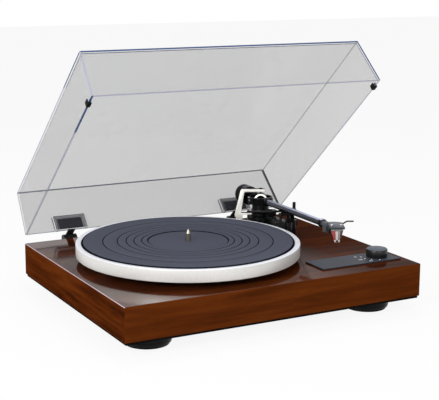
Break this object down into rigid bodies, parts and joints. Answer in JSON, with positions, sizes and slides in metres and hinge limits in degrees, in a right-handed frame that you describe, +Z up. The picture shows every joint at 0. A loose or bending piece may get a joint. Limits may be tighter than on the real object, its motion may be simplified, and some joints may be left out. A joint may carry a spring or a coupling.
{
  "type": "belt-drive turntable",
  "caption": "Belt-drive record player in dark walnut with a hinged clear cover standing open, a slate mat on a satin platter and a straight tonearm.",
  "frame": {"origin": "on the surface it stands on, below the middle of the whole object's box (width by depth, with the dust cover open as in the picture)", "axes": "+X to the right as seen from the front and along the longest side, +Y from the front to the back, +Z up"},
  "size_m": [0.435, 0.4041, 0.3545],
  "materials": {
    "walnut_veneer": "gloss lacquered dark walnut",
    "black_board": "matte black fibreboard",
    "foot_black": "matte black",
    "foot_rubber": "matte rubber",
    "black_steel": "black screws and small plates",
    "green_board": "matte printed board",
    "gold_plate": "bright plated",
    "panel_slate": "satin blue-grey",
    "knob_grey": "satin",
    "bearing_steel": "machined",
    "drive_plastic": "moulded",
    "platter_alloy": "satin machined",
    "mat_rubber": "matte slate grey",
    "motor_steel": "zinc plated",
    "belt_rubber": "matte",
    "clear_acrylic": "clear, polished",
    "hinge_black": "satin black",
    "arm_black": "gloss black",
    "frame_ivory": "polished front, black sides",
    "arm_satin": "dark satin tube",
    "shell_grey": "satin grey",
    "screw_bright": "bright",
    "cartridge_black": "gloss black",
    "stylus_red": "red with a clear middle"
  },
  "bodies": {
    "base": {"plinth": "walnut_veneer", "bottom_cover": "black_board", "foot_front_left": "foot_black", "foot_front_right": "foot_black", "foot_back_left": "foot_black", "foot_back_right": "foot_black", "foot_pads": "foot_rubber", "foot_screws": "black_steel", "cover_screws": "black_steel", "circuit_board": "green_board", "socket_plate": "black_steel", "phono_sockets": "gold_plate", "power_inlet": "drive_plastic", "back_screws": "black_steel", "control_panel": "panel_slate", "speed_switch": "drive_plastic", "main_bearing": "bearing_steel", "deck_screws": "black_steel", "motor": "motor_steel", "drive_belt": "belt_rubber", "hinge_bracket_left": "black_steel", "hinge_bracket_right": "black_steel", "hinge_pins": "black_steel", "arm_base": "arm_black", "arm_base_nut": "bearing_steel", "arm_frame": "frame_ivory", "pivot_screw": "screw_bright", "arm_rest": "arm_black", "lift_cylinder": "arm_black"},
    "turning_platter": {"spindle": "bearing_steel", "drive_platter": "drive_plastic", "platter": "platter_alloy", "platter_mat": "mat_rubber"},
    "pulley": {"drive_pulley": "drive_plastic"},
    "cover": {"lid": "clear_acrylic", "lid_bumpers": "foot_rubber", "hinge_plug_left": "hinge_black", "hinge_plug_right": "hinge_black", "hinge_pocket_left": "clear_acrylic", "hinge_pocket_right": "clear_acrylic"},
    "knob": {"knob_shaft": "knob_grey", "speed_knob": "knob_grey"},
    "swing": {"bearing_block": "arm_black"},
    "arm": {"gimbal_ring": "arm_black", "side_pivots": "screw_bright", "arm_tube": "arm_satin", "headshell": "shell_grey", "finger_lift": "shell_grey", "cartridge": "cartridge_black", "cartridge_screws": "screw_bright", "stylus": "stylus_red", "weight_shaft": "arm_satin"},
    "collar": {"lock_collar": "arm_satin"},
    "weight_carrier": {"weight_hub": "arm_black"},
    "weight": {"counterweight": "arm_black"},
    "dial": {"antiskate_dial": "arm_black"},
    "clip": {"rest_clip": "arm_black"},
    "lift": {"lift_bar": "arm_black"},
    "lever": {"cue_lever": "arm_black"}
  },
  "joints": [
    {"name": "platter_spin", "type": "hinge", "parent": "base", "child": "turning_platter", "pos_m": [-0.0485, -0.03478, 0.092], "axis": [0, 0, -1], "continuous": true},
    {"name": "pulley_spin", "type": "hinge", "parent": "base", "child": "pulley", "pos_m": [-0.12275, 0.03946, 0.0909], "axis": [0, 0, -1], "continuous": true},
    {"name": "lid_hinge", "type": "hinge", "parent": "base", "child": "cover", "pos_m": [0, 0.15972, 0.0625], "axis": [-1, 0, 0], "range_deg": [-41.5, 18.5]},
    {"name": "knob_turn", "type": "hinge", "parent": "base", "child": "knob", "pos_m": [0.1833, -0.14878, 0.068], "axis": [0, 0, -1], "range_deg": [0, 90]},
    {"name": "arm_swing", "type": "hinge", "parent": "base", "child": "swing", "pos_m": [0.12555, 0.06774, 0.112], "axis": [0, 0, -1], "range_deg": [0, 41.5]},
    {"name": "arm_pitch", "type": "hinge", "parent": "swing", "child": "arm", "pos_m": [0.12555, 0.06774, 0.112], "axis": [-0.9988, 0.0488, 0], "range_deg": [0, 10]},
    {"name": "collar_turn", "type": "hinge", "parent": "arm", "child": "collar", "pos_m": [0.11671, -0.11303, 0.11437], "axis": [-0.0488, -0.9987, 0.0131], "range_deg": [0, 60]},
    {"name": "weight_travel", "type": "slide", "parent": "arm", "child": "weight_carrier", "axis": [0.0488, 0.9987, -0.0131], "range_m": [-0.003, 0.006]},
    {"name": "weight_turn", "type": "hinge", "parent": "weight_carrier", "child": "weight", "pos_m": [0.1278, 0.11368, 0.1114], "axis": [0.0488, 0.9987, -0.0131], "range_deg": [-720, 1440]},
    {"name": "dial_turn", "type": "hinge", "parent": "base", "child": "dial", "pos_m": [0.128, 0.03872, 0.0927], "axis": [0, 0, -1], "range_deg": [0, 270]},
    {"name": "clip_turn", "type": "hinge", "parent": "base", "child": "clip", "pos_m": [0.1143, -0.00866, 0.10551], "axis": [-0.0488, -0.9988, 0], "range_deg": [-172, 0]},
    {"name": "cue_lever_turn", "type": "hinge", "parent": "base", "child": "lever", "pos_m": [0.154, 0.02222, 0.101], "axis": [1, 0, 0], "range_deg": [0, 60]},
    {"name": "lift_travel", "type": "slide", "parent": "base", "child": "lift", "axis": [0, 0, -1], "range_m": [0, 0.006]}
  ],
  "couplings": [
    {"joint": "pulley_spin", "follows": "platter_spin", "ratio": 13.333},
    {"joint": "weight_travel", "follows": "weight_turn", "m_per_rad": 0.00023873},
    {"joint": "lift_travel", "follows": "cue_lever_turn", "m_per_rad": 0.0057296}
  ]
}
